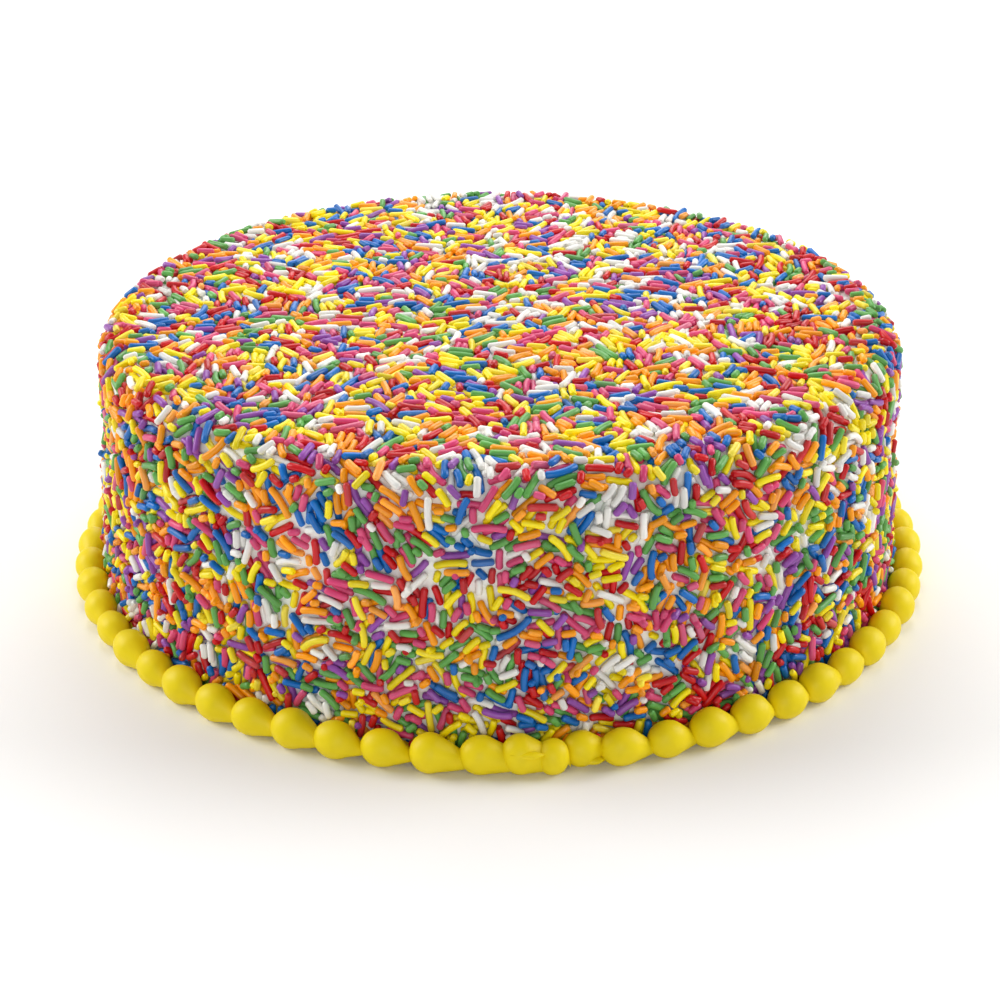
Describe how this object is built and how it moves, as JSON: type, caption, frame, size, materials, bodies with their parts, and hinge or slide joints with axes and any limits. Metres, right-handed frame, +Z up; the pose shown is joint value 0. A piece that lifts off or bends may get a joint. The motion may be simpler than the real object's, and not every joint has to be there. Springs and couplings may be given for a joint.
{
  "type": "round sprinkle-coated layer cake",
  "caption": "Round iced layer cake coated all over in rainbow sprinkles, with a piped border of yellow icing beads round its foot.",
  "frame": {"origin": "centre of the cake's flat base, on the surface that it stands on", "axes": "+Z up through the middle of the cake, -Y towards the front, +X to the right seen from the front; the cake is round, so the front is where the border's first and last beads meet, just right of -Y"},
  "size_m": [0.2285, 0.2285, 0.0714],
  "materials": {
    "sprinkled_icing": "white buttercream icing pressed full of rainbow sugar sprinkles, soft waxy sheen",
    "piped_icing": "smooth matte yellow buttercream, piped in round beads"
  },
  "bodies": {
    "root": {"cake": "sprinkled_icing", "bead_01": "piped_icing", "bead_02": "piped_icing", "bead_03": "piped_icing", "bead_04": "piped_icing", "bead_05": "piped_icing", "bead_06": "piped_icing", "bead_07": "piped_icing", "bead_08": "piped_icing", "bead_09": "piped_icing", "bead_10": "piped_icing", "bead_11": "piped_icing", "bead_12": "piped_icing", "bead_13": "piped_icing", "bead_14": "piped_icing", "bead_15": "piped_icing", "bead_16": "piped_icing", "bead_17": "piped_icing", "bead_18": "piped_icing", "bead_19": "piped_icing", "bead_20": "piped_icing", "bead_21": "piped_icing", "bead_22": "piped_icing", "bead_23": "piped_icing", "bead_24": "piped_icing", "bead_25": "piped_icing", "bead_26": "piped_icing", "bead_27": "piped_icing", "bead_28": "piped_icing", "bead_29": "piped_icing", "bead_30": "piped_icing", "bead_31": "piped_icing", "bead_32": "piped_icing", "bead_33": "piped_icing", "bead_34": "piped_icing", "bead_35": "piped_icing", "bead_36": "piped_icing", "bead_37": "piped_icing", "bead_38": "piped_icing", "bead_39": "piped_icing", "bead_40": "piped_icing", "bead_41": "piped_icing", "bead_42": "piped_icing", "bead_43": "piped_icing", "bead_44": "piped_icing", "bead_45": "piped_icing", "bead_46": "piped_icing", "bead_47": "piped_icing", "bead_48": "piped_icing", "bead_49": "piped_icing", "bead_50": "piped_icing", "bead_51": "piped_icing", "bead_52": "piped_icing", "bead_53": "piped_icing", "bead_54": "piped_icing", "bead_55": "piped_icing", "bead_56": "piped_icing", "bead_57": "piped_icing", "bead_58": "piped_icing", "bead_59": "piped_icing"}
  },
  "joints": []
}
